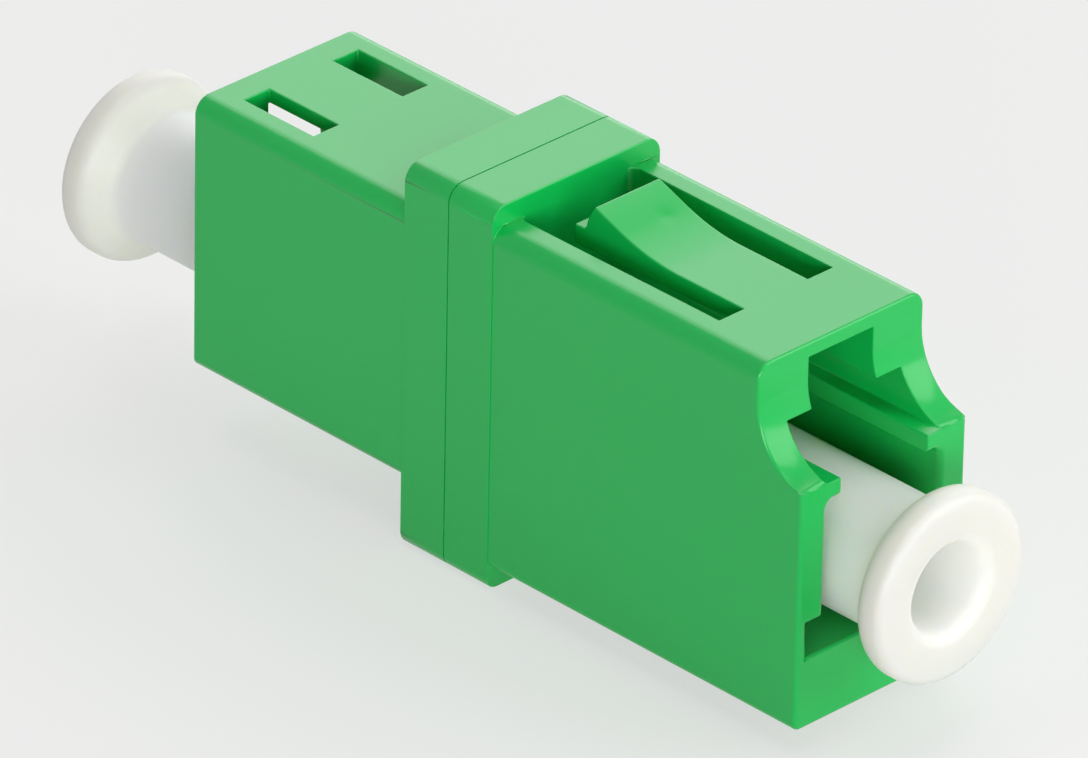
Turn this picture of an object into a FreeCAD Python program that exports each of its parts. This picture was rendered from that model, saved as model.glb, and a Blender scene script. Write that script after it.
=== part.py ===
import FreeCAD, Part

# Fibre adapter that joins two small plugs end to end, with a dust plug in each port.
# The ferrule axis is X and the front port looks along +X. Z is up. The origin is where the two ferrules
# meet: on the ferrule axis, in the plane of the seam between the two moulded halves.

import os
import re

import Sketcher
from FreeCAD import Placement, Rotation, Vector

# Driving sizes in millimetres and degrees. Heights count from the ferrule axis, lengths from the seam.
SIZES = (
    ("front_width", 6.7, "front half: width across the body"),
    ("front_top", 6.65, "front half: top face"),
    ("front_bottom", -4.65, "front half: bottom face"),
    ("front_top_end", 12.65, "front half: end face above the scallop"),
    ("front_end", 14.5, "front half: end face of the port"),
    ("rear_width", 6.7, "rear half: width across the body"),
    ("rear_top", 5.85, "rear half: top face"),
    ("rear_bottom", -3.15, "rear half: bottom face"),
    ("rear_end", 10.8, "rear half: end face of the port"),
    ("collar_half", 1.83, "collar: share of each half"),
    ("collar_width", 6.76, "collar: width"),
    ("collar_top", 7.3, "collar: top face"),
    ("collar_bottom", -5.45, "collar: bottom face"),
    ("top_round", 0.55, "rounding of the long top edges"),
    ("bottom_round", 0.25, "rounding of the long bottom edges of each half"),
    ("collar_round", 0.45, "collar: rounding of its long bottom edges"),
    ("end_round", 0.15, "rounding of the upright outer edges of the end faces"),
    ("seam_bevel", 0.025, "bevel of each half at the seam"),
    ("port_width", 4.6, "port: width of the plug cavity and over its latch slots"),
    ("port_floor", -2.3, "port: floor"),
    ("rail_gap", 3.5, "port: free width between the rails"),
    ("rail_bottom", 2.6, "port: underside of the rails"),
    ("rail_top", 3.2, "port: top of the rails"),
    ("rail_round", 0.3, "port: rounding under the rails"),
    ("lug_roof", 4.55, "port: roof of the channel for the plug's latch lugs"),
    ("groove_width", 2.6, "port: width of the groove for the plug's latch arm"),
    ("roof_thick", 0.48, "port: wall above the groove"),
    ("mouth_round", 0.2, "port: rounding of the sides at the mouth, and of the rear port's floor"),
    ("lip_round", 0.1, "port: rounding of the front port's floor at the mouth"),
    ("relief_width", 6.1, "front mouth: width of the low relief"),
    ("relief_top", -1.1, "front mouth: top of the low relief"),
    ("relief_depth", 4.5, "front mouth: depth of the low relief"),
    ("scallop_radius", 2.3, "front end: radius of the scallop"),
    ("latch_root", 10.0, "front latch slots: shoulder for the plug's lugs, and root of the panel latch"),
    ("slot_round", 0.3, "front latch slots: rounding of the corners beside the collar"),
    ("tongue_tip", 3.08, "panel latch: free end"),
    ("tongue_under", 5.95, "panel latch: underside at the free end"),
    ("tongue_step", 6.6, "panel latch: step in front of the catch"),
    ("catch_foot", 3.5, "panel latch: foot of the catch face"),
    ("catch_belly", 3.64, "panel latch: catch face half way up"),
    ("catch_peak", 3.9, "panel latch: top edge of the catch"),
    ("catch_round", 1.0, "panel latch: rounding of the catch face"),
    ("peak_round", 0.08, "panel latch: rounding of the top edge of the catch"),
    ("ramp_foot", 6.15, "panel latch: where the ramp would leave the flat"),
    ("ramp_angle", 20.0, "panel latch: slope of the ramp"),
    ("ramp_round", 6.5, "panel latch: hollow rounding at the foot of the ramp"),
    ("window_front", 6.82, "rear windows: front edge"),
    ("window_shoulder", 9.78, "rear windows: shoulder for the plug's lugs"),
    ("boss_radius", 1.45, "sleeve boss: outside radius"),
    ("boss_end", 3.9, "sleeve boss: end"),
    ("boss_bevel", 0.2, "sleeve boss: bevel of its end"),
    ("seat_radius", 0.87, "sleeve boss: radius of the sleeve's seat"),
    ("seat_end", 3.45, "sleeve boss: end of the sleeve's seat"),
    ("lip_radius", 0.776, "sleeve boss: radius of the opening in its end lip"),
    ("sleeve_inner", 0.6245, "split sleeve: inside radius"),
    ("sleeve_outer", 0.81, "split sleeve: outside radius"),
    ("sleeve_length", 6.8, "split sleeve: length"),
    ("sleeve_slit", 0.25, "split sleeve: width of the slit"),
    ("plug_radius", 2.085, "dust plug: radius of the shank"),
    ("plug_inner_end", 2.2, "dust plug: inner end"),
    ("plug_socket", 1.55, "dust plug: radius of the socket that fits over the boss"),
    ("plug_socket_end", 4.4, "dust plug: bottom of the socket"),
    ("plug_neck", 15.9, "dust plug: where the flange begins"),
    ("plug_flange_back", 16.4, "dust plug: back of the flange at its rim"),
    ("plug_outer_end", 17.35, "dust plug: outer face"),
    ("plug_flange_radius", 3.0, "dust plug: radius of the flange"),
    ("plug_rim_round", 0.25, "dust plug: rounding of the rim at the outer face"),
    ("plug_back_round", 0.6, "dust plug: rounding of the rim at the back"),
    ("plug_neck_round", 0.4, "dust plug: hollow rounding behind the flange"),
    ("plug_hole", 1.4, "dust plug: radius of the blind hole"),
    ("plug_hole_end", 12.0, "dust plug: bottom of the blind hole"),
    ("plug_hole_bevel", 0.35, "dust plug: bevel at the mouth of the hole"),
    ("rear_plug_inset", 0.2, "rear dust plug: how much deeper it is pushed in"),
)
ALIAS = re.compile(r"[a-z]+(_[a-z]+)+")
TOUCH = 1e-4


def make_sheet(doc):
    """Write the driving sizes, each with its meaning beside it and an alias to bind to."""
    sheet = doc.addObject("Spreadsheet::Sheet", "Sizes")
    for row, (alias, value, meaning) in enumerate(SIZES, start=1):
        sheet.set(f"A{row}", meaning)
        sheet.set(f"B{row}", str(value))
        sheet.setAlias(f"B{row}", alias)
    doc.recompute()
    return sheet


def bound(formula):
    """Formula with the sheet's name before each alias, as an expression needs it."""
    return ALIAS.sub(r"Sizes.\g<0>", formula)


def at(**places):
    """Test for edges that lie wholly at a given x, z, y (of either sign) or distance r from the axis."""
    measure = {
        "x": lambda point: point.x,
        "y": lambda point: abs(point.y),
        "z": lambda point: point.z,
        "r": lambda point: Vector(0, point.y, point.z).Length,
    }

    def test(edge):
        points = edge.discretize(3)
        offs = [measure[key](point) - place for key, place in places.items() for point in points]
        return all(abs(off) < TOUCH for off in offs)

    return test


class Piece:
    """One separate piece: a body, and short names for the operations that shape it."""

    def __init__(self, doc, sheet, label):
        self.doc = doc
        self.sheet = sheet
        self.body = doc.addObject("PartDesign::Body", label)
        self.body.Label = label

    def size(self, formula):
        """Value of a formula written with the sheet's aliases."""
        return float(self.sheet.evalExpression(bound(formula)))

    def sketch(self, role, offset=None):
        """Empty sketch on one of the body's own planes, moved along the plane's normal by offset."""
        sketch = self.body.newObject("Sketcher::SketchObject", "Sketch")
        plane = next(item for item in self.body.Origin.OriginFeatures if item.Role == role)
        sketch.AttachmentSupport = [(plane, "")]
        sketch.MapMode = "FlatFace"
        if offset:
            sketch.setExpression("AttachmentOffset.Base.z", bound(offset))
        return sketch

    def hold(self, sketch, geometry, point, place):
        """Hold a point of a sketch at the place that two formulas give."""
        for kind, formula, axis in (("DistanceX", place[0], -2), ("DistanceY", place[1], -1)):
            if formula == "0":
                sketch.addConstraint(Sketcher.Constraint("PointOnObject", geometry, point, axis))
                continue
            distance = Sketcher.Constraint(kind, -1, 1, geometry, point, self.size(formula))
            index = sketch.addConstraint(distance)
            sketch.setExpression(f"Constraints[{index}]", bound(formula))

    def outline(self, role, corners, offset=None):
        """Sketch of a closed outline with straight sides, every corner bound to the sheet."""
        sketch = self.sketch(role, offset)
        points = [Vector(self.size(across), self.size(upward), 0) for across, upward in corners]
        after = [(index + 1) % len(points) for index in range(len(points))]
        for index, following in enumerate(after):
            sketch.addGeometry(Part.LineSegment(points[index], points[following]))
        for index, following in enumerate(after):
            sketch.addConstraint(Sketcher.Constraint("Coincident", index, 2, following, 1))
        for index, place in enumerate(corners):
            self.hold(sketch, index, 1, place)
        return sketch

    def rectangle(self, role, left, right, low, high, offset=None):
        """Sketch of a rectangle."""
        return self.outline(role, ((left, low), (right, low), (right, high), (left, high)), offset)

    def circles(self, role, radii, centre=("0", "0")):
        """Sketch of circles about one centre."""
        sketch = self.sketch(role)
        middle = Vector(self.size(centre[0]), self.size(centre[1]), 0)
        for index, radius in enumerate(radii):
            sketch.addGeometry(Part.Circle(middle, Vector(0, 0, 1), self.size(radius)))
            self.hold(sketch, index, 3, centre)
            constraint = sketch.addConstraint(Sketcher.Constraint("Radius", index, self.size(radius)))
            sketch.setExpression(f"Constraints[{constraint}]", bound(radius))
        return sketch

    def shape(self, kind, sketch, adds, length=None, **settings):
        """Feature made from a sketch. It has to add to the solid, or take from it, as said."""
        before = 0.0 if self.body.Shape.isNull() else self.body.Shape.Volume
        feature = self.body.newObject(f"PartDesign::{kind}", kind)
        feature.Profile = sketch
        for name, value in settings.items():
            setattr(feature, name, value)
        if length:
            feature.setExpression("Length", bound(length))
        self.doc.recompute()
        gain = self.body.Shape.Volume - before
        if (gain > 0) != adds:
            raise RuntimeError(f"{kind} on {self.body.Label} changes the volume by {gain:.3f}")
        return feature

    def pad(self, sketch, length, **settings):
        """Grow an outline into a solid."""
        return self.shape("Pad", sketch, True, length, **settings)

    def pocket(self, sketch, length, **settings):
        """Cut an outline out of the solid."""
        return self.shape("Pocket", sketch, False, length, **settings)

    def dress(self, kind, size, test):
        """Round (Fillet) or bevel (Chamfer) the edges that pass a test."""
        edges = enumerate(self.body.Shape.Edges, start=1)
        names = [f"Edge{index}" for index, edge in edges if test(edge)]
        if not names:
            raise RuntimeError(f"{kind} on {self.body.Label} finds no edge")
        base = self.body.Tip
        feature = self.body.newObject(f"PartDesign::{kind}", kind)
        feature.Base = (base, names)
        feature.setExpression("Radius" if kind == "Fillet" else "Size", bound(size))
        self.doc.recompute()
        return feature


def half_shell(piece, end, width, top, bottom, rear=False):
    """Solid block of one half with its share of the collar, and the long edges rounded."""
    for across, high, low, below, length in (
        (width, top, bottom, "bottom_round", end),
        ("collar_width", "collar_top", "collar_bottom", "collar_round", "collar_half"),
    ):
        section = piece.rectangle("YZ_Plane", f"-{across} / 2", f"{across} / 2", low, high)
        piece.pad(section, length, Reversed=rear)
        side = piece.size(f"{across} / 2")
        piece.dress("Fillet", "top_round", at(y=side, z=piece.size(high)))
        piece.dress("Fillet", below, at(y=side, z=piece.size(low)))


def port(piece, end, top, rear=False):
    """Cavity for a plug: square nose, two rails, channel for the latch lugs, groove for the latch arm."""
    half, rail, arm = "port_width / 2", "rail_gap / 2", "groove_width / 2"
    right = (
        (half, "port_floor"),
        (half, "rail_bottom"),
        (rail, "rail_bottom"),
        (rail, "rail_top"),
        (half, "rail_top"),
        (half, "lug_roof"),
        (arm, "lug_roof"),
        (arm, f"{top} - roof_thick"),
    )
    left = tuple((f"-{across}", upward) for across, upward in reversed(right))
    mouth = piece.outline("YZ_Plane", right + left, f"-{end}" if rear else end)
    piece.pocket(mouth, f"{end} - collar_half", Reversed=rear)
    piece.dress("Fillet", "rail_round", at(y=piece.size(half), z=piece.size("rail_bottom")))


def sleeve_boss(piece, rear=False):
    """Tube that holds one end of the split sleeve: a seat with a lip at its end, bevelled outside."""
    sign = "-" if rear else ""
    piece.pad(piece.circles("YZ_Plane", ("boss_radius",)), "boss_end", Reversed=rear)
    piece.dress("Chamfer", "boss_bevel", at(x=piece.size(f"{sign}boss_end"), r=piece.size("boss_radius")))
    for radius, depth in (("seat_radius", "seat_end"), ("lip_radius", "boss_end")):
        piece.pocket(piece.circles("YZ_Plane", (radius,)), depth, Reversed=not rear)


def seam(piece):
    """Fine bevel round the collar, so that the two halves meet in a visible line."""
    in_plane = at(x=0.0)
    in_seat = at(x=0.0, r=piece.size("seat_radius"))
    piece.dress("Chamfer", "seam_bevel", lambda edge: in_plane(edge) and not in_seat(edge))


def mouth_edges(piece, end):
    """Tests for the edges of a cavity's floor and of its sides in the end face."""
    place = piece.size(end)
    return at(x=place, z=piece.size("port_floor")), at(x=place, y=piece.size("port_width / 2"))


def scallop(piece):
    """Cut the upper part of the front end back. The hollow runs out at the rails' top, in the end face."""
    middle = "front_top_end + scallop_radius"
    height = f"rail_top + sqrt(scallop_radius ^ 2 - ({middle} - front_end) ^ 2)"
    hollow = piece.circles("XZ_Plane", ("scallop_radius",), (middle, height))
    piece.pocket(hollow, "collar_width", Midplane=True)
    above = piece.rectangle("XZ_Plane", "front_top_end", f"{middle} + scallop_radius", height, "collar_top")
    piece.pocket(above, "collar_width", Midplane=True)


def front_housing(doc, sheet):
    """Larger half: scalloped end, slots beside the panel latch, and a low relief inside the mouth."""
    piece = Piece(doc, sheet, "front_housing")
    half_shell(piece, "front_end", "front_width", "front_top", "front_bottom")
    side = "port_width / 2"
    slots = piece.rectangle("XY_Plane", "collar_half", "latch_root", f"-{side}", side, "front_top")
    piece.pocket(slots, "front_top - lug_roof")
    piece.dress("Fillet", "slot_round", at(x=piece.size("collar_half"), y=piece.size(side)))
    port(piece, "front_end", "front_top")
    side = "relief_width / 2"
    relief = piece.rectangle("YZ_Plane", f"-{side}", side, "port_floor", "relief_top", "front_end")
    piece.pocket(relief, "relief_depth")
    scallop(piece)
    sleeve_boss(piece)
    floor, sides = mouth_edges(piece, "front_end")
    piece.dress("Fillet", "lip_round", floor)
    piece.dress("Fillet", "mouth_round", sides)
    piece.dress("Fillet", "end_round", at(x=piece.size("front_end"), y=piece.size("front_width / 2")))
    seam(piece)
    return piece.body


def rear_housing(doc, sheet):
    """Smaller half: plain end, and two windows in the top that the plug's latch lugs catch in."""
    piece = Piece(doc, sheet, "rear_housing")
    half_shell(piece, "rear_end", "rear_width", "rear_top", "rear_bottom", rear=True)
    port(piece, "rear_end", "rear_top", rear=True)
    inner, outer = "groove_width / 2", "port_width / 2"
    for left, right in ((inner, outer), (f"-{outer}", f"-{inner}")):
        window = piece.rectangle("XY_Plane", "-window_shoulder", "-window_front", left, right, "rear_top")
        piece.pocket(window, "rear_top - lug_roof")
    sleeve_boss(piece, rear=True)
    floor, sides = mouth_edges(piece, "-rear_end")
    piece.dress("Fillet", "mouth_round", lambda edge: floor(edge) or sides(edge))
    seam(piece)
    return piece.body


def panel_latch(doc, sheet):
    """Spring tongue in the front half's top: flat strip, hollow ramp and a catch for the panel."""
    piece = Piece(doc, sheet, "panel_latch")
    peak = "front_top + (ramp_foot - catch_peak) * tan(ramp_angle * 1 deg)"
    profile = (
        ("latch_root", "front_top"),
        ("ramp_foot", "front_top"),
        ("catch_peak", peak),
        ("catch_belly", f"({peak} + tongue_step) / 2"),
        ("catch_foot", "tongue_step"),
        ("tongue_tip", "tongue_step"),
        ("tongue_tip", "tongue_under"),
        ("latch_root", "front_top - roof_thick"),
    )
    piece.pad(piece.outline("XZ_Plane", profile), "groove_width", Midplane=True)
    piece.dress("Fillet", "ramp_round", at(x=piece.size("ramp_foot"), z=piece.size("front_top")))
    piece.dress("Fillet", "catch_round", at(x=piece.size("catch_belly")))
    piece.dress("Fillet", "peak_round", at(x=piece.size("catch_peak"), z=piece.size(peak)))
    return piece.body


def split_sleeve(doc, sheet):
    """Ceramic sleeve that lines up the two ferrules, slit along its top."""
    piece = Piece(doc, sheet, "split_sleeve")
    ring = piece.circles("YZ_Plane", ("sleeve_outer", "sleeve_inner"))
    piece.pad(ring, "sleeve_length", Midplane=True)
    side = "sleeve_slit / 2"
    slit = piece.rectangle("YZ_Plane", f"-{side}", side, "sleeve_inner / 2", "sleeve_outer * 2")
    piece.pocket(slit, "sleeve_length * 2", Midplane=True)
    return piece.body


def dust_plug(doc, sheet, label):
    """Soft turned plug: socket over the boss, long shank, flange with a round rim, blind hole."""
    piece = Piece(doc, sheet, label)
    section = (
        ("plug_inner_end", "plug_socket"),
        ("plug_socket_end", "plug_socket"),
        ("plug_socket_end", "0"),
        ("plug_hole_end", "0"),
        ("plug_hole_end", "plug_hole"),
        ("plug_outer_end", "plug_hole"),
        ("plug_outer_end", "plug_flange_radius"),
        ("plug_flange_back", "plug_flange_radius"),
        ("plug_neck", "plug_radius"),
        ("plug_inner_end", "plug_radius"),
    )
    half = piece.outline("XZ_Plane", section)
    piece.shape("Revolution", half, True, ReferenceAxis=(half, ["H_Axis"]), Angle=360.0)
    rim = piece.size("plug_flange_radius")
    piece.dress("Fillet", "plug_rim_round", at(x=piece.size("plug_outer_end"), r=rim))
    piece.dress("Fillet", "plug_back_round", at(x=piece.size("plug_flange_back"), r=rim))
    piece.dress("Fillet", "plug_neck_round", at(x=piece.size("plug_neck"), r=piece.size("plug_radius")))
    piece.dress("Chamfer", "plug_hole_bevel", at(x=piece.size("plug_outer_end"), r=piece.size("plug_hole")))
    return piece.body


def rear_dust_plug(doc, sheet):
    """The same plug turned about to face the rear port, and pushed in a little deeper."""
    body = dust_plug(doc, sheet, "rear_dust_plug")
    body.Placement = Placement(Vector(), Rotation(Vector(0, 0, 1), 180))
    body.setExpression("Placement.Base.x", bound("rear_plug_inset"))
    return body


def check(doc, bodies):
    """Stop if anything in the document failed, or a piece isn't one sound solid."""
    for item in doc.Objects:
        if "Invalid" in item.State or "Error" in item.State:
            raise RuntimeError(f"{item.Label} failed: {item.State}")
    for body in bodies:
        if body.Shape.isNull() or not body.Shape.isValid() or len(body.Shape.Solids) != 1:
            raise RuntimeError(f"{body.Label} is not one valid solid")


def main():
    """Build the adapter and write each piece to its own file."""
    doc = FreeCAD.newDocument("fibre_adapter")
    sheet = make_sheet(doc)
    bodies = [
        front_housing(doc, sheet),
        rear_housing(doc, sheet),
        panel_latch(doc, sheet),
        split_sleeve(doc, sheet),
        dust_plug(doc, sheet, "front_dust_plug"),
        rear_dust_plug(doc, sheet),
    ]
    doc.recompute()
    check(doc, bodies)
    os.makedirs("parts", exist_ok=True)
    for body in bodies:
        body.Shape.exportStep(os.path.join("parts", f"{body.Label}.step"))


main()
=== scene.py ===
import math

import bmesh
import bpy
from mathutils import Matrix, Vector


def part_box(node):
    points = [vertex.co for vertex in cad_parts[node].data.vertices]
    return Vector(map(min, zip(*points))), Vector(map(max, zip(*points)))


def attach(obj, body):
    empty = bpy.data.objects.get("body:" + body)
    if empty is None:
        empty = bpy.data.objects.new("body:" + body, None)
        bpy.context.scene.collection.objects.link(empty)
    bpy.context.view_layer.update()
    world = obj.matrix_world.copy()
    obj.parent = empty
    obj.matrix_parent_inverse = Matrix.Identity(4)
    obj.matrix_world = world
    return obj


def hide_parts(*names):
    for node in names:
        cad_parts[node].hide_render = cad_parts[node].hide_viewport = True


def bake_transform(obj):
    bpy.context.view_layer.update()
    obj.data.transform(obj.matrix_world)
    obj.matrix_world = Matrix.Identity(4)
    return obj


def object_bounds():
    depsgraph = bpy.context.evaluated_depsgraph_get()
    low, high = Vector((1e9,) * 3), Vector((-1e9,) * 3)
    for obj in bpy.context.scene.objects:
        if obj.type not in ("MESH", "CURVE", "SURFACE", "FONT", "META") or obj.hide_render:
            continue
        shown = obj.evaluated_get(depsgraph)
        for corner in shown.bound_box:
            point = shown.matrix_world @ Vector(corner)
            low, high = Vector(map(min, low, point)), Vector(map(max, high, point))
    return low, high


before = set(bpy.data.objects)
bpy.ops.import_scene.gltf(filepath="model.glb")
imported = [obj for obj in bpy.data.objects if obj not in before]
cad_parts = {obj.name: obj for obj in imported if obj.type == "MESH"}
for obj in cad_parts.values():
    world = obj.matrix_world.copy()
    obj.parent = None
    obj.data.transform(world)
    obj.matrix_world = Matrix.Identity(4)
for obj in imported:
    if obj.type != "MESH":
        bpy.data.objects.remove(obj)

bl_info = {
    "name": "Fibre Adapter Looks",
    "version": (1, 0, 0),
    "blender": (4, 5, 0),
    "location": "View3D > Sidebar > Fibre Adapter",
    "description": "Dresses a small fibre adapter: mouldings, bending latch, dust plugs, finishes and studio",
    "category": "Object",
}

MM = 0.001
CAD_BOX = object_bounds()
LATCH_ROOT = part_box("panel_latch")[1].x
ALONG = Vector((1, 0, 0))
ACROSS = Vector((0, 1, 0))

# Faces that turn less than the first angle are one flat face, and the mould rounds edges past the second.
# The other edges stay creased past the third, or past their own angle on the latch and the dust plugs.
FLAT_ANGLE = math.radians(0.5)
CORNER_ANGLE = math.radians(50)
CREASE_ANGLE = math.radians(28)
RAMP_CREASE_ANGLE = math.radians(12)
PLUG_CREASE_ANGLE = math.radians(40)

# Points closer than the first distance are one point, and places closer than the second are one place.
MERGE_DISTANCE = 1e-5 * MM
SAME_PLACE = 0.01 * MM

# Parts of the full rounding that edges get.
FULL, USUAL, NONE = 1.0, 0.5, 0.0


def linear(code):
    """Linear colour with full alpha from an sRGB hex code."""
    parts = [int(code[i:i + 2], 16) / 255 for i in (1, 3, 5)]
    return tuple(c / 12.92 if c <= 0.04045 else ((c + 0.055) / 1.055) ** 2.4 for c in parts) + (1.0,)


def colour(name, description, code):
    """Colour property whose default is an sRGB hex code."""
    return bpy.props.FloatVectorProperty(
        name=name, description=description, default=linear(code), size=4, min=0, max=1, subtype="COLOR"
    )


def length(name, description, millimetres):
    """Length property whose default is given in millimetres."""
    return bpy.props.FloatProperty(
        name=name, description=description, default=millimetres * MM, min=0, precision=5,
        subtype="DISTANCE", unit="LENGTH"
    )


def angle(name, description, degrees):
    """Angle property whose default is given in degrees."""
    return bpy.props.FloatProperty(
        name=name, description=description, default=math.radians(degrees), subtype="ANGLE", unit="ROTATION"
    )


def glow(name, description, value):
    """Brightness property of a lamp's surface, where 1 is white."""
    return bpy.props.FloatProperty(name=name, description=description, default=value, min=0)


class AdapterFinish(bpy.types.PropertyGroup):
    """Colours of the adapter's materials."""

    housing: colour("Housing", "Green of the housing halves and the panel latch", "#12be56")
    housing_deep: colour("Housing, deep", "Green where the melt flowed a little denser", "#10ba53")
    # Painted light and shade: the flange face's white is darker to hold back the strong light on it, and the
    # white of the shank and hole is brighter to stand in for light they don't get.
    plug: colour("Dust plug", "Warm white of a soft dust plug where it is thick", "#e5e4de")
    plug_painted_light: colour("Dust plug, thin", "White of a dust plug where light comes through its wall", "#fbfaf3")
    sleeve: colour("Sleeve", "White of the ceramic sleeve", "#efece4")


class AdapterForm(bpy.types.PropertyGroup):
    """Small forms that the mould leaves on the pieces."""

    ease: length("Edge rounding", "Rounding of the softest moulded edges; most have half of it", 0.1)
    blind_hole: length("Plug hole", "Radius of the blind hole in a dust plug", 1.4)
    hole_depth: length("Plug hole depth", "Depth of the blind hole in a dust plug", 5.35)
    hole_lip: length("Plug hole lip", "Rounding at the mouth of the blind hole", 0.5)
    shank: length("Plug shank", "Radius of a dust plug's shank", 2.085)
    flange: length("Plug flange", "Thickness of a dust plug's flange at its rim", 0.95)
    rim: length("Plug rim", "Rounding of a dust plug's rim at its outer face", 0.3)
    rim_back: length("Plug rim, back", "Rounding of a dust plug's rim at its back", 0.6)
    neck: length("Plug neck", "Hollow rounding behind a dust plug's flange", 0.45)
    flare: length("Plug flare", "How far the back of the flange slopes down to the shank", 0.5)
    socket: length("Plug socket", "Radius of the socket in a dust plug's inner end", 1.55)
    socket_depth: length("Plug socket depth", "Depth of the socket in a dust plug's inner end", 2.2)
    flex: length("Latch flex", "Length of the strip that bends when the panel latch is pressed", 3.0)
    slit: length("Seam slit", "Width of the slit between the housing halves", 0.05)
    slit_depth: length("Seam depth", "Depth of the slit between the housing halves", 0.15)
    ramp: length("Ramp rounding", "Radius of the hollow rounding at the foot of the panel latch's ramp", 6.5)
    ramp_end: length("Ramp end", "Where the ramp's rounding runs out into the flat strip", 7.2961)
    ramp_run: length("Ramp run", "Length of the ramp's rounding", 2.2231)
    sink: length("Sink mark", "Depth of the shallow sink mark on the panel latch's ramp", 0.015)
    sink_size: length("Sink mark size", "Radius of the sink mark", 0.25)


class AdapterStudio(bpy.types.PropertyGroup):
    """Camera and light."""

    azimuth: angle("Azimuth", "Camera's turn about the upright axis", 45.3142)
    elevation: angle("Elevation", "Camera's height above the horizon", 29.7292)
    roll: angle("Roll", "Camera's turn about its own line of sight", 1.1065)
    distance: length("Distance", "Camera's distance from the aim point's plane", 400.0)
    aim_right: length("Aim, right", "Aim point's step to the right of the object's origin", 0.4367)
    aim_down: length("Aim, down", "Aim point's step below the object's origin", 0.4485)
    aim_lift: length("Aim, lift", "Aim point's step up along the upright axis", 0.15)
    lens: bpy.props.FloatProperty(
        name="Lens", description="Focal length on a 36 mm wide frame, in millimetres", default=452.6, min=1
    )
    floor: colour("Floor", "Pale floor", "#e4e4e2")
    shade: bpy.props.FloatProperty(
        name="Floor shade", description="Share of the floor's look that takes shadows", default=0.4,
        min=0, max=1, subtype="FACTOR"
    )
    sky: glow("Sky", "Brightness of the even light all round", 0.1)
    back: glow("Back light", "Brightness of the tall soft box that the top faces mirror", 1.85)
    top: glow("Top light", "Brightness of the soft box overhead", 1.35)
    right: glow("Right light", "Brightness of the tall soft box that the front's hollow mirrors", 2.85)
    front: glow("Front light", "Brightness of the low soft box beside the camera", 6.0)


def add_node(tree, kind, inputs=(), **settings):
    """Add a shader node. Settings are its own properties; inputs are values, or sockets to link from."""
    made = tree.nodes.new(kind)
    for name, value in settings.items():
        setattr(made, name, value)
    for key, value in dict(inputs).items():
        if isinstance(value, bpy.types.NodeSocket):
            tree.links.new(value, made.inputs[key])
        else:
            made.inputs[key].default_value = value
    return made


def new_material(name):
    """Empty node material, with its tree and output node."""
    material = bpy.data.materials.new(name)
    material.use_nodes = True
    material.node_tree.nodes.clear()
    return material, material.node_tree, add_node(material.node_tree, "ShaderNodeOutputMaterial")


def moulded_pbt(finish):
    """PBT, injection moulded in a finely spark-eroded mould.

    It gives the eye a strong even green, a satin sheen that mirrors pale surroundings softly at low angles,
    a barely visible grain, and faint clouds where the melt flowed.
    """
    material, tree, output = new_material("pbt_satin_moulded")
    place = add_node(tree, "ShaderNodeTexCoord").outputs["Object"]
    # The real grain is about 0.03 mm across. It is drawn coarser, or it wouldn't show.
    grain_size, cloud_size = 0.11 * MM, 5.0 * MM
    grain = add_node(tree, "ShaderNodeTexNoise", {
        "Vector": place, "Scale": 1 / grain_size, "Detail": 3.0, "Roughness": 0.55,
    })
    clouds = add_node(tree, "ShaderNodeTexNoise", {
        "Vector": place, "Scale": 1 / cloud_size, "Detail": 2.0, "Roughness": 0.5,
    })
    tint = add_node(tree, "ShaderNodeMix", {
        "Factor": clouds.outputs["Fac"], "A": finish.housing, "B": finish.housing_deep,
    }, data_type="RGBA")
    sheen = add_node(tree, "ShaderNodeMapRange", {
        "Value": grain.outputs["Fac"], "To Min": 0.19, "To Max": 0.27,
    })
    bump = add_node(tree, "ShaderNodeBump", {
        "Height": grain.outputs["Fac"], "Strength": 0.05, "Distance": 0.01 * MM,
    })
    shader = add_node(tree, "ShaderNodeBsdfPrincipled", {
        "Base Color": tint.outputs["Result"], "Roughness": sheen.outputs["Result"], "IOR": 1.45,
        "Normal": bump.outputs["Normal"],
    })
    tree.links.new(shader.outputs["BSDF"], output.inputs["Surface"])
    return material


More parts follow.
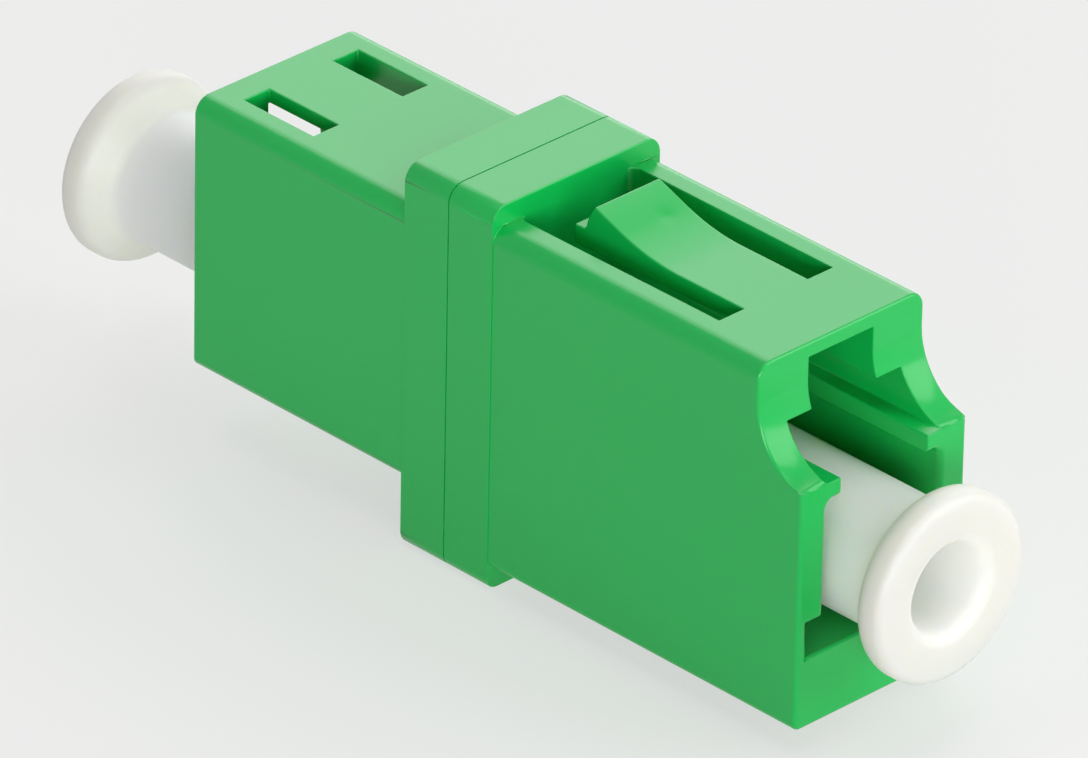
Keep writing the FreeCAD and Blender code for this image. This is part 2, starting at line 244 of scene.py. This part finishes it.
def soft_polyethylene(finish):
    """Low-density polyethylene, moulded and soft.

    It gives the eye a warm waxy white that light enters and spreads in, with a dull broad sheen. Its shank
    and blind hole are painted a brighter white as painted light, and its flange face a darker white as
    painted shade.
    """
    material, tree, output = new_material("ldpe_soft_moulded")
    place = add_node(tree, "ShaderNodeTexCoord").outputs["Object"]
    wax_size, cloud_size = 0.25 * MM, 3.0 * MM
    flange_starts, flange_full, uneven_by = 15.8 * MM, 16.8 * MM, 0.8 * MM
    hole_edge, rim_starts = 1.4 * MM, 1.8 * MM
    wax = add_node(tree, "ShaderNodeTexNoise", {
        "Vector": place, "Scale": 1 / wax_size, "Detail": 2.0, "Roughness": 0.5,
    })
    clouds = add_node(tree, "ShaderNodeTexNoise", {
        "Vector": place, "Scale": 1 / cloud_size, "Detail": 2.0, "Roughness": 0.5,
    })
    along = add_node(tree, "ShaderNodeSeparateXYZ", {"Vector": place})
    outward = add_node(tree, "ShaderNodeMath", {0: along.outputs["X"]}, operation="ABSOLUTE")
    uneven = add_node(tree, "ShaderNodeMath", {
        0: clouds.outputs["Fac"], 1: uneven_by, 2: outward.outputs["Value"],
    }, operation="MULTIPLY_ADD")
    flange = add_node(tree, "ShaderNodeMapRange", {
        "Value": uneven.outputs["Value"], "From Min": flange_starts, "From Max": flange_full,
    })
    across = add_node(tree, "ShaderNodeVectorMath", {0: place, 1: (0, 1, 1)}, operation="MULTIPLY")
    radius = add_node(tree, "ShaderNodeVectorMath", {0: across.outputs["Vector"]}, operation="LENGTH")
    outside = add_node(tree, "ShaderNodeMapRange", {
        "Value": radius.outputs["Value"], "From Min": hole_edge, "From Max": rim_starts,
    })
    # Painted light and shade: the flange face outside the hole takes the darker white, and the shaded shank
    # and the hole take the brighter one.
    flange_face = add_node(tree, "ShaderNodeMath", {
        0: flange.outputs["Result"], 1: outside.outputs["Result"],
    }, operation="MULTIPLY")
    tint = add_node(tree, "ShaderNodeMix", {
        "Factor": flange_face.outputs["Value"], "A": finish.plug_painted_light, "B": finish.plug,
    }, data_type="RGBA")
    sheen = add_node(tree, "ShaderNodeMapRange", {
        "Value": wax.outputs["Fac"], "To Min": 0.40, "To Max": 0.50,
    })
    bump = add_node(tree, "ShaderNodeBump", {
        "Height": wax.outputs["Fac"], "Strength": 0.08, "Distance": 0.01 * MM,
    })
    shader = add_node(tree, "ShaderNodeBsdfPrincipled", {
        "Base Color": tint.outputs["Result"], "Roughness": sheen.outputs["Result"], "IOR": 1.51,
        "Subsurface Weight": 1.0, "Subsurface Radius": (1.0, 0.9, 0.75), "Subsurface Scale": 1.5 * MM,
        "Normal": bump.outputs["Normal"],
    })
    tree.links.new(shader.outputs["BSDF"], output.inputs["Surface"])
    return material


def ground_zirconia(finish):
    """Zirconia ceramic, sintered and ground.

    It gives the eye a dense glossy white with fine rings that the grinding leaves round the sleeve.
    """
    material, tree, output = new_material("zirconia_ground")
    place = add_node(tree, "ShaderNodeTexCoord").outputs["Object"]
    # Real grinding rings lie about 0.02 mm apart. They are drawn coarser, or they wouldn't show.
    # At scale 1 the bands of a wave lie pi / 10 apart.
    ring_pitch, wave_pitch = 0.08 * MM, math.pi / 10
    rings = add_node(tree, "ShaderNodeTexWave", {
        "Vector": place, "Scale": wave_pitch / ring_pitch, "Distortion": 1.5, "Detail": 2.0,
    }, wave_type="BANDS", bands_direction="X")
    tint = add_node(tree, "ShaderNodeMix", {
        "Factor": rings.outputs["Fac"], "A": finish.sleeve, "B": finish.plug,
    }, data_type="RGBA")
    bump = add_node(tree, "ShaderNodeBump", {
        "Height": rings.outputs["Fac"], "Strength": 0.1, "Distance": 0.004 * MM,
    })
    shader = add_node(tree, "ShaderNodeBsdfPrincipled", {
        "Base Color": tint.outputs["Result"], "Roughness": 0.14, "IOR": 2.1, "Normal": bump.outputs["Normal"],
    })
    tree.links.new(shader.outputs["BSDF"], output.inputs["Surface"])
    return material


def shared(name, make, finish):
    """The material of that name, made on first use."""
    return bpy.data.materials.get(name) or make(finish)


def show(name, mesh, material):
    """New object in the scene from a mesh, with its material."""
    made = bpy.data.objects.new(name, mesh)
    bpy.context.scene.collection.objects.link(made)
    mesh.materials.clear()
    mesh.materials.append(material)
    return made


def clean_copy(node):
    """Closed mesh of a CAD node as a bmesh, with its flat faces whole again."""
    form = bmesh.new()
    form.from_mesh(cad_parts[node].data)
    bmesh.ops.remove_doubles(form, verts=form.verts, dist=MERGE_DISTANCE)
    bmesh.ops.dissolve_limit(form, angle_limit=FLAT_ANGLE, verts=form.verts, edges=form.edges)
    return form


def plain_mesh(form, name):
    """Mesh from a bmesh with nothing carried over but its points and faces. The bmesh is freed."""
    form.verts.index_update()
    points = [vert.co.copy() for vert in form.verts]
    faces = [[vert.index for vert in face.verts] for face in form.faces]
    form.free()
    mesh = bpy.data.meshes.new(name)
    mesh.from_pydata(points, [], faces)
    return mesh


def open_seam(form, slit, depth):
    """Turn the fine bevel round a half's joint face into one side of a narrow dark slit."""
    core, bevel_reach, joint_face = 2.5 * MM, 0.1 * MM, 0.005 * MM
    rim = [vert for vert in form.verts if abs(vert.co.x) < bevel_reach and vert.co.yz.length > core]
    half_width = max(vert.co.y for vert in rim)
    top, bottom = max(vert.co.z for vert in rim), min(vert.co.z for vert in rim)
    centre, half_height = (top + bottom) / 2, (top - bottom) / 2
    for vert in rim:
        if abs(vert.co.x) > joint_face:
            vert.co.x = math.copysign(slit / 2, vert.co.x)
        else:
            vert.co.y *= 1 - depth / half_width
            vert.co.z -= (vert.co.z - centre) * depth / half_height


def reach(face, edge):
    """How far a face reaches from one of its edges."""
    start, end = (vert.co for vert in edge.verts)
    along = (end - start).normalized()
    return max((vert.co - start).cross(along).length for vert in face.verts)


def mark_edges(mesh, width, share):
    """Weight the corners that the mould rounds, keep the other creases sharp, and shade the rest smooth.

    share(edge) gives an edge's part of the full width. A face too narrow for the rounding keeps its edges.
    """
    room = 2.2
    form = bmesh.new()
    form.from_mesh(mesh)
    weight = form.edges.layers.float.new("bevel_weight_edge")
    for face in form.faces:
        face.smooth = True
    for edge in form.edges:
        turn = edge.calc_face_angle(0.0)
        part = share(edge) if turn > CORNER_ANGLE else NONE
        if part and min(reach(face, edge) for face in edge.link_faces) < room * part * width:
            part = NONE
        edge[weight] = part
        edge.smooth = part > 0 or turn < CREASE_ANGLE
    form.to_mesh(mesh)
    form.free()


def ease_edges(piece, width):
    """Round the weighted edges."""
    bevel = piece.modifiers.new("Moulded edges", "BEVEL")
    bevel.limit_method = "WEIGHT"
    bevel.width = width
    bevel.segments = 3
    bevel.use_clamp_overlap = False


def slice_across(form, axis, places):
    """Cut a bmesh by planes across an axis, at places along it."""
    for place in places:
        bmesh.ops.bisect_plane(
            form, geom=form.verts[:] + form.edges[:] + form.faces[:], plane_co=axis * place, plane_no=axis
        )


def keep_flat(piece):
    """Let the large flat faces keep their own normals beside the small rounded ones."""
    normals = piece.modifiers.new("Flat faces", "WEIGHTED_NORMAL")
    normals.keep_sharp = True


def dress(piece, body, slot, *nodes):
    """Let a piece ride on its body and stand for its CAD nodes. Its slot is not used."""
    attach(piece, body)
    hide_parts(*nodes)


def at_latch_root(edge):
    """Whether an edge lies where the panel latch leaves the front half's top."""
    return all(abs(vert.co.x - LATCH_ROOT) < SAME_PLACE for vert in edge.verts)


def housing_share(edge):
    """Part of the full rounding that an edge of a housing half gets."""
    middle = (edge.verts[0].co + edge.verts[1].co) / 2
    outward, aside = abs(middle.x), abs(middle.y)

    # Sharp: the seam, the sleeve's boss, the deep ends of the ports, the latch's root, and the corners of
    # the rear mouth that run out into a rounding.
    seam = 0.06 * MM
    boss_reach, boss_radius = 4.6 * MM, 2.2 * MM
    port_end, rail, lug_roof = 2.2 * MM, 2.31 * MM, 4.6 * MM
    rear_mouth, corner_side, corner_reach, corner_foot = -10.7 * MM, 2 * MM, 0.4 * MM, 3 * MM
    in_boss = outward < boss_reach and Vector((0, middle.y, middle.z)).length < boss_radius
    deep = outward < port_end and aside < rail and abs(middle.z) < lug_roof
    runs_out = middle.x < rear_mouth and abs(aside - corner_side) < corner_reach and middle.z > corner_foot
    if outward < seam or in_boss or deep or runs_out or at_latch_root(edge):
        return NONE

    # The collar's edges fade round its corners, because the body is almost flush with its sides.
    collar, least_slant = 1.83 * MM, 0.2
    if abs(outward - collar) < SAME_PLACE:
        slant = abs((edge.verts[1].co - edge.verts[0].co).normalized().y)
        return USUAL * slant if slant > least_slant else NONE

    # The front's hollows fade to sharp tips.
    hollow_foot, foot_reach = 3.4 * MM, 0.25 * MM
    hollow_fade, hollow_end = 13.6 * MM, 14.3 * MM
    if aside > rail and abs(middle.z - hollow_foot) < foot_reach and middle.x > hollow_fade:
        return max(NONE, (hollow_end - middle.x) / (hollow_end - hollow_fade))

    # The outer edges of the front end are the softest.
    end_face, outer_top, outer_side = 12.6 * MM, 6.4 * MM, 3.25 * MM
    at_end = middle.x > end_face and (middle.z > outer_top or aside > outer_side)
    return FULL if at_end else USUAL


class ADAPTER_OT_housings(bpy.types.Operator):
    """Make the two moulded housing halves with eased edges"""

    bl_idname = "adapter.housings"
    bl_label = "Housing halves"

    def execute(self, context):
        form = context.scene.adapter_form
        material = shared("pbt_satin_moulded", moulded_pbt, context.scene.adapter_finish)
        for node in ("front_housing", "rear_housing"):
            shell = clean_copy(node)
            open_seam(shell, form.slit, form.slit_depth)
            mesh = plain_mesh(shell, f"{node}_moulding")
            mark_edges(mesh, form.ease, housing_share)
            piece = show(f"{node}_moulding", mesh, material)
            ease_edges(piece, form.ease)
            keep_flat(piece)
            dress(piece, "adapter", "green_plastic", node)
        return {"FINISHED"}


def turn_ramp(tongue, form, foot):
    """Cut the latch's hollow ramp finer, and put its points on the true arc above its foot."""
    arc_steps, cuts, near_arc = 20, 25, 0.005 * MM
    pitch = form.ramp_run / arc_steps
    # The first cut lies half a step inside the arc, so that no sliver is left where it runs out.
    slice_across(tongue, ALONG, [form.ramp_end - pitch * (cut + 0.5) for cut in range(cuts)])
    pivot = Vector((form.ramp_end, 0, foot + form.ramp))
    for vert in tongue.verts:
        arm = Vector((vert.co.x, 0, vert.co.z)) - pivot
        if -form.ramp_run < arm.x < 0 and abs(arm.length - form.ramp) < near_arc:
            vert.co += arm.normalized() * (form.ramp - arm.length)


def press_sink_mark(mesh, form):
    """Lower a shallow round sink mark into the latch's ramp."""
    centre = Vector((5.1, 0.42, 7.03)) * MM
    cuts_per_radius, radii = 3, 2
    cuts = range(-cuts_per_radius * radii, cuts_per_radius * radii + 1)
    tongue = bmesh.new()
    tongue.from_mesh(mesh)
    slice_across(tongue, ACROSS, [centre.y + form.sink_size * cut / cuts_per_radius for cut in cuts])
    for vert in tongue.verts:
        vert.co.z -= form.sink * math.exp(-((vert.co - centre).length / form.sink_size) ** 2)
    tongue.to_mesh(mesh)
    tongue.free()


class ADAPTER_OT_panel_latch(bpy.types.Operator):
    """Make the spring tongue that stands out of the front half's top, sliced finer where it would bend"""

    bl_idname = "adapter.panel_latch"
    bl_label = "Panel latch"

    def execute(self, context):
        form = context.scene.adapter_form
        material = shared("pbt_satin_moulded", moulded_pbt, context.scene.adapter_finish)
        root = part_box("panel_latch")[1]
        tongue = clean_copy("panel_latch")
        root.z = max(vert.co.z for vert in tongue.verts if abs(vert.co.x - root.x) < SAME_PLACE)
        # The cuts reach a little past the stretch that bends.
        past_bend, cuts = 1.2, 14
        strip = form.flex * past_bend
        slice_across(tongue, ALONG, [root.x - strip * cut / cuts for cut in range(1, cuts)])
        turn_ramp(tongue, form, root.z)
        mesh = plain_mesh(tongue, "panel_latch_tongue")
        mark_edges(mesh, form.ease, lambda edge: NONE if at_latch_root(edge) else USUAL)
        piece = show("panel_latch_tongue", mesh, material)
        ease_edges(piece, form.ease)
        piece.data = bpy.data.meshes.new_from_object(
            piece.evaluated_get(context.evaluated_depsgraph_get())
        )
        piece.modifiers.clear()
        press_sink_mark(piece.data, form)
        piece.data.set_sharp_from_angle(angle=RAMP_CREASE_ANGLE)
        keep_flat(piece)
        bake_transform(piece)
        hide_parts("panel_latch")
        return {"FINISHED"}


class ADAPTER_OT_split_sleeve(bpy.types.Operator):
    """Give the ceramic sleeve its finish"""

    bl_idname = "adapter.split_sleeve"
    bl_label = "Split sleeve"

    def execute(self, context):
        material = shared("zirconia_ground", ground_zirconia, context.scene.adapter_finish)
        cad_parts["split_sleeve"].data.materials[0] = material
        return {"FINISHED"}


def rounded(corners, steps=10):
    """Outline through corners (along, out, radius), with each corner turned on its own radius."""
    points = []
    for index, (along, out, radius) in enumerate(corners):
        here = Vector((along, out))
        if radius == 0:
            points.append(here)
            continue
        before = (Vector(corners[index - 1][:2]) - here).normalized()
        after = (Vector(corners[index + 1][:2]) - here).normalized()
        half = before.angle(after) / 2
        centre = here + (before + after).normalized() * (radius / math.sin(half))
        first = here + before * (radius / math.tan(half)) - centre
        last = here + after * (radius / math.tan(half)) - centre
        for step in range(steps + 1):
            points.append(centre + first.slerp(last, step / steps).normalized() * radius)
    return points


def spun(points, name, segments=96):
    """Closed mesh turned about the ferrule axis from (along, out) points that start and end on it."""
    start, *outline, end = (Vector((point.x, 0, point.y)) for point in points)
    turns = [Matrix.Rotation(math.tau * step / segments, 3, "X") for step in range(segments)]
    verts = [turn @ point for turn in turns for point in outline] + [start, end]
    count, start_index, end_index = len(outline), len(verts) - 2, len(verts) - 1
    faces = []
    for step in range(segments):
        here, there = step * count, (step + 1) % segments * count
        faces.append((start_index, there, here))
        for place in range(count - 1):
            faces.append((here + place, there + place, there + place + 1, here + place + 1))
        faces.append((here + count - 1, there + count - 1, end_index))
    mesh = bpy.data.meshes.new(name)
    mesh.from_pydata(verts, [], faces, shade_flat=False)
    mesh.set_sharp_from_angle(angle=PLUG_CREASE_ANGLE)
    return mesh


class ADAPTER_OT_dust_plugs(bpy.types.Operator):
    """Make the two soft dust plugs with rounded rims and hole mouths"""

    bl_idname = "adapter.dust_plugs"
    bl_label = "Dust plugs"

    def execute(self, context):
        form = context.scene.adapter_form
        material = shared("ldpe_soft_moulded", soft_polyethylene, context.scene.adapter_finish)
        low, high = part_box("front_dust_plug")
        face, inner, rim_radius = high.x, low.x, high.z
        back = face - form.flange
        tip_rounding, floor_rounding = 0.15 * MM, 0.2 * MM
        corners = (
            (inner + form.socket_depth, 0, 0),
            (inner + form.socket_depth, form.socket, 0),
            (inner, form.socket, 0),
            (inner, form.shank, tip_rounding),
            (back - form.flare, form.shank, form.neck),
            (back, rim_radius, form.rim_back),
            (face, rim_radius, form.rim),
            (face, form.blind_hole, form.hole_lip),
            (face - form.hole_depth, form.blind_hole, floor_rounding),
            (face - form.hole_depth, 0, 0),
        )
        for end in ("front", "rear"):
            mesh = spun(rounded(corners), f"{end}_dust_plug_soft")
            if end == "rear":
                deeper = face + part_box("rear_dust_plug")[0].x
                mesh.transform(Matrix.Translation((deeper, 0, 0)) @ Matrix.Rotation(math.pi, 4, "Z"))
            piece = show(f"{end}_dust_plug_soft", mesh, material)
            dress(piece, f"{end}_plug", "soft_plastic", f"{end}_dust_plug")
        return {"FINISHED"}


def soft_box(name, turn, rise, width, height, brightness):
    """Area lamp that looks at the object from a turn about Z and a rise in degrees.

    Its brightness is that of its surface, where 1 is white, whatever its size.
    """
    away = 0.6
    data = bpy.data.lights.new(name, "AREA")
    data.shape = "RECTANGLE"
    data.size, data.size_y = width, height
    data.energy = brightness * math.pi * width * height
    lamp = bpy.data.objects.new(name, data)
    bpy.context.scene.collection.objects.link(lamp)
    turn, rise = math.radians(turn), math.radians(rise)
    way = Vector((math.cos(turn) * math.cos(rise), math.sin(turn) * math.cos(rise), math.sin(rise)))
    lamp.location = way * away
    lamp.rotation_mode = "QUATERNION"
    lamp.rotation_quaternion = (-way).to_track_quat("-Z", "Y")


def seen_directly(tree):
    """Socket that is 1 where the eye looks straight, in a reflection or through a clear piece, and else 0."""
    rays = add_node(tree, "ShaderNodeLightPath").outputs
    mirrored = add_node(tree, "ShaderNodeMath", {
        0: rays["Is Camera Ray"], 1: rays["Is Glossy Ray"],
    }, operation="MAXIMUM")
    return add_node(tree, "ShaderNodeMath", {
        0: mirrored.outputs["Value"], 1: rays["Is Transmission Ray"],
    }, operation="MAXIMUM").outputs["Value"]


def paper_floor(studio):
    """Matt white paper, which takes the object's shadow and shows white to the eye and in reflections."""
    material, tree, output = new_material("paper_matt_white")
    share = add_node(tree, "ShaderNodeMath", {
        0: seen_directly(tree), 1: 1 - studio.shade,
    }, operation="MULTIPLY")
    paper = add_node(tree, "ShaderNodeBsdfDiffuse", {"Color": studio.floor})
    white = add_node(tree, "ShaderNodeEmission", {"Strength": 1.0})
    surface = add_node(tree, "ShaderNodeMixShader", {
        "Fac": share.outputs[0], 1: paper.outputs["BSDF"], 2: white.outputs["Emission"],
    })
    tree.links.new(surface.outputs["Shader"], output.inputs["Surface"])
    return material


def even_sky(studio):
    """World that lights evenly and shows white to the eye and in reflections."""
    world = bpy.data.worlds.new("even_sky")
    world.use_nodes = True
    tree = world.node_tree
    tree.nodes.clear()
    light = add_node(tree, "ShaderNodeBackground", {"Strength": studio.sky})
    white = add_node(tree, "ShaderNodeBackground", {"Strength": 1.0})
    both = add_node(tree, "ShaderNodeMixShader", {
        "Fac": seen_directly(tree), 1: light.outputs["Background"], 2: white.outputs["Background"],
    })
    output = add_node(tree, "ShaderNodeOutputWorld")
    tree.links.new(both.outputs["Shader"], output.inputs["Surface"])
    return world


def place_camera(studio):
    """Camera at the photograph's angle."""
    turn, rise, roll = studio.azimuth, studio.elevation, studio.roll
    back = Vector((math.sin(turn) * math.cos(rise), -math.cos(turn) * math.cos(rise), math.sin(rise)))
    level = Vector((math.cos(turn), math.sin(turn), 0))
    upright = back.cross(level)
    right = level * math.cos(roll) + upright * math.sin(roll)
    up = upright * math.cos(roll) - level * math.sin(roll)
    eye = back * studio.distance + right * studio.aim_right - up * studio.aim_down
    eye.z += studio.aim_lift
    data = bpy.data.cameras.new("camera")
    data.sensor_width = 36
    data.lens = studio.lens
    data.clip_start, data.clip_end = 0.01, 10
    camera = bpy.data.objects.new("camera", data)
    bpy.context.scene.collection.objects.link(camera)
    camera.matrix_world = Matrix.Translation(eye) @ Matrix((right, up, back)).transposed().to_4x4()
    bpy.context.scene.camera = camera


class ADAPTER_OT_studio(bpy.types.Operator):
    """Make the pale floor, the soft light and the camera"""

    bl_idname = "adapter.studio"
    bl_label = "Studio"

    def execute(self, context):
        scene, studio = context.scene, context.scene.adapter_studio
        half, level = 3.0, CAD_BOX[0].z
        sheet = bpy.data.meshes.new("floor")
        corners = [(-half, -half, level), (half, -half, level), (half, half, level), (-half, half, level)]
        sheet.from_pydata(corners, [], [(0, 1, 2, 3)])
        show("floor", sheet, paper_floor(studio))
        soft_box("back_light", turn=134, rise=29, width=0.5, height=0.6, brightness=studio.back)
        soft_box("top_light", turn=0, rise=88, width=0.5, height=0.5, brightness=studio.top)
        soft_box("right_light", turn=38, rise=28, width=0.45, height=0.5, brightness=studio.right)
        soft_box("front_light", turn=320, rise=10, width=0.6, height=0.2, brightness=studio.front)
        scene.world = even_sky(studio)
        scene.view_settings.view_transform = "Standard"
        place_camera(studio)
        return {"FINISHED"}


class ADAPTER_PT_sidebar(bpy.types.Panel):
    """Lists the adapter's pieces, finishes and studio"""

    bl_idname = "ADAPTER_PT_sidebar"
    bl_label = "Fibre Adapter"
    bl_space_type = "VIEW_3D"
    bl_region_type = "UI"
    bl_category = "Fibre Adapter"

    def draw(self, context):
        layout = self.layout
        for operator in OPERATORS:
            layout.operator(operator.bl_idname)
        for group in (context.scene.adapter_finish, context.scene.adapter_form, context.scene.adapter_studio):
            box = layout.box()
            for name in group.__annotations__:
                box.prop(group, name)


OPERATORS = (
    ADAPTER_OT_housings,
    ADAPTER_OT_panel_latch,
    ADAPTER_OT_split_sleeve,
    ADAPTER_OT_dust_plugs,
    ADAPTER_OT_studio,
)
GROUPS = {
    "adapter_finish": AdapterFinish,
    "adapter_form": AdapterForm,
    "adapter_studio": AdapterStudio,
}


def register():
    """Register the property groups, the operators and the panel."""
    for name, group in GROUPS.items():
        bpy.utils.register_class(group)
        setattr(bpy.types.Scene, name, bpy.props.PointerProperty(type=group))
    for operator in OPERATORS:
        bpy.utils.register_class(operator)
    bpy.utils.register_class(ADAPTER_PT_sidebar)


def unregister():
    """Take the panel, the operators and the property groups away again."""
    bpy.utils.unregister_class(ADAPTER_PT_sidebar)
    for operator in reversed(OPERATORS):
        bpy.utils.unregister_class(operator)
    for name, group in reversed(GROUPS.items()):
        delattr(bpy.types.Scene, name)
        bpy.utils.unregister_class(group)


def main():
    """Make every piece in order."""
    register()
    bpy.ops.adapter.housings()
    bpy.ops.adapter.panel_latch()
    bpy.ops.adapter.split_sleeve()
    bpy.ops.adapter.dust_plugs()
    bpy.ops.adapter.studio()


if __name__ == "__main__":
    main()
